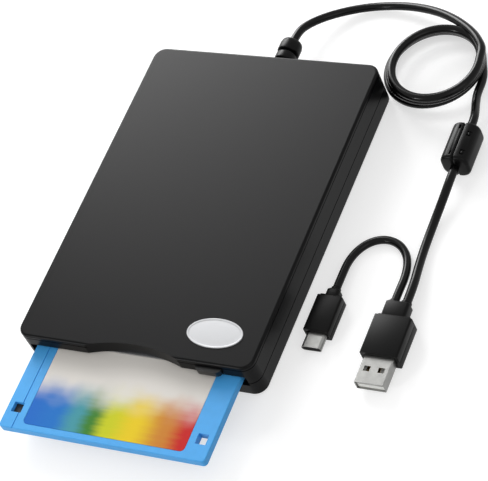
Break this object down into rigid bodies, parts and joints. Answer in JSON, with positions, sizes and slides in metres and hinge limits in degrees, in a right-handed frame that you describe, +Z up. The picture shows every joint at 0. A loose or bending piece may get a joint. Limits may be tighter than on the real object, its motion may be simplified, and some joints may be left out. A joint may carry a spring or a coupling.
{
  "type": "external floppy disk drive",
  "caption": "Slim portable disk drive with a half-ejected 3.5 inch disk in its front slot, an eject button, and a coiled cord with a ferrite bead and two plugs.",
  "frame": {"origin": "centre of the footprint of the drive with its disk half out, on the table plane", "axes": "+X to the right seen from the front, +Y from the disk slot to the back, +Z up"},
  "size_m": [0.1514, 0.2294, 0.0188],
  "materials": {
    "case_black": "satin moulded",
    "badge_silver": "satin silver",
    "black_rubber": "matte",
    "zinc_steel": "plated",
    "cord_black": "satin",
    "frame_zinc": "zinc plated sheet",
    "spring_steel": "wire",
    "board_green": "solder resist",
    "brass": "turned",
    "copper": "enamelled copper",
    "chip_black": "moulded",
    "ivory_nylon": "moulded",
    "disk_blue": "moulded",
    "label_paper": "coated paper",
    "liner_white": "non-woven",
    "shutter_metal": "brushed",
    "medium_brown": "coated film",
    "tab_black": "moulded",
    "plug_black": "moulded",
    "plug_nickel": "nickel plated",
    "tongue_white": "moulded",
    "gold": "gold plated"
  },
  "bodies": {
    "case": {"top_cover": "case_black", "oval_badge": "badge_silver", "bottom_case": "case_black", "rubber_feet": "black_rubber", "case_screws": "zinc_steel", "frame_screws": "zinc_steel", "strain_relief": "cord_black", "drive_frame": "frame_zinc", "lever_pivot": "zinc_steel", "eject_spring": "spring_steel", "spindle_board": "board_green", "spindle_bearing": "brass", "stator_coils": "copper", "stepper_motor": "zinc_steel", "guide_rod": "zinc_steel", "motor_bracket": "frame_zinc", "rod_supports": "frame_zinc", "main_board": "board_green", "controller_chips": "chip_black", "interface_board": "board_green", "bridge_chip": "chip_black", "crystal": "zinc_steel", "cord_header": "ivory_nylon", "ribbon_cable": "ivory_nylon", "cord_lead_a": "cord_black", "cord_coil": "cord_black", "cord_lead_b": "cord_black", "cord_lead_c": "cord_black", "pigtail": "cord_black", "ferrite_case_left": "plug_black", "ferrite_case_right": "plug_black", "ferrite_core": "chip_black", "plug_a_grip": "plug_black", "plug_a_shell": "plug_nickel", "plug_a_tongue": "tongue_white", "plug_a_contacts": "gold", "plug_c_grip": "plug_black", "plug_c_shell": "plug_nickel", "plug_c_insert": "chip_black"},
    "ejector": {"slide_plate": "frame_zinc", "eject_button": "case_black"},
    "cradle": {"disk_cradle": "frame_zinc"},
    "lever": {"shutter_lever": "frame_zinc"},
    "spindle": {"spindle_rotor": "zinc_steel", "rotor_magnet": "chip_black", "spindle_shaft": "zinc_steel", "drive_pin": "brass"},
    "screw": {"lead_screw": "zinc_steel"},
    "carriage": {"head_carriage": "chip_black", "lower_head": "ivory_nylon"},
    "upper_arm": {"head_arm": "zinc_steel", "upper_head": "ivory_nylon"},
    "disk": {"disk_upper_shell": "disk_blue", "disk_lower_shell": "disk_blue", "disk_label": "label_paper", "disk_liners": "liner_white"},
    "shutter": {"disk_shutter": "shutter_metal"},
    "medium": {"magnetic_medium": "medium_brown", "disk_hub": "shutter_metal"},
    "protect_tab": {"write_protect_tab": "tab_black"}
  },
  "joints": [
    {"name": "eject_slide", "type": "slide", "parent": "case", "child": "ejector", "axis": [0, 1, 0], "range_m": [-0.0035, 0]},
    {"name": "cradle_lift", "type": "slide", "parent": "case", "child": "cradle", "axis": [0, 0, 1], "range_m": [-0.001, 0]},
    {"name": "disk_slide", "type": "slide", "parent": "cradle", "child": "disk", "axis": [0, 1, 0], "range_m": [-0.058, 0.0385]},
    {"name": "shutter_slide", "type": "slide", "parent": "disk", "child": "shutter", "axis": [1, 0, 0], "range_m": [0, 0.0175], "stiffness_N_per_m": 25, "springref_m": -0.01},
    {"name": "protect_slide", "type": "slide", "parent": "disk", "child": "protect_tab", "axis": [0, 1, 0], "range_m": [0, 0.0046]},
    {"name": "medium_spin", "type": "hinge", "parent": "disk", "child": "medium", "pos_m": [0, -0.04245, 0.00985], "axis": [0, 0, 1], "continuous": true},
    {"name": "spindle_spin", "type": "hinge", "parent": "case", "child": "spindle", "pos_m": [0, -0.00395, 0.006], "axis": [0, 0, 1], "continuous": true},
    {"name": "screw_spin", "type": "hinge", "parent": "case", "child": "screw", "pos_m": [0.012, 0.05525, 0.0106], "axis": [0, 1, 0], "range_deg": [0, 1440]},
    {"name": "head_seek", "type": "slide", "parent": "case", "child": "carriage", "axis": [0, -1, 0], "range_m": [0, 0.015]},
    {"name": "head_arm_lift", "type": "hinge", "parent": "carriage", "child": "upper_arm", "pos_m": [0, 0.06435, 0.0145], "axis": [1, 0, 0], "range_deg": [0, 2.51]},
    {"name": "lever_swing", "type": "hinge", "parent": "case", "child": "lever", "pos_m": [-0.044, 0.04425, 0.0128], "axis": [0, 0, 1], "range_deg": [-72, 0]}
  ],
  "couplings": [
    {"joint": "cradle_lift", "follows": "eject_slide", "ratio": 0.2857},
    {"joint": "head_arm_lift", "follows": "eject_slide", "rad_per_m": -12.467},
    {"joint": "screw_spin", "follows": "head_seek", "rad_per_m": 1675.5}
  ]
}
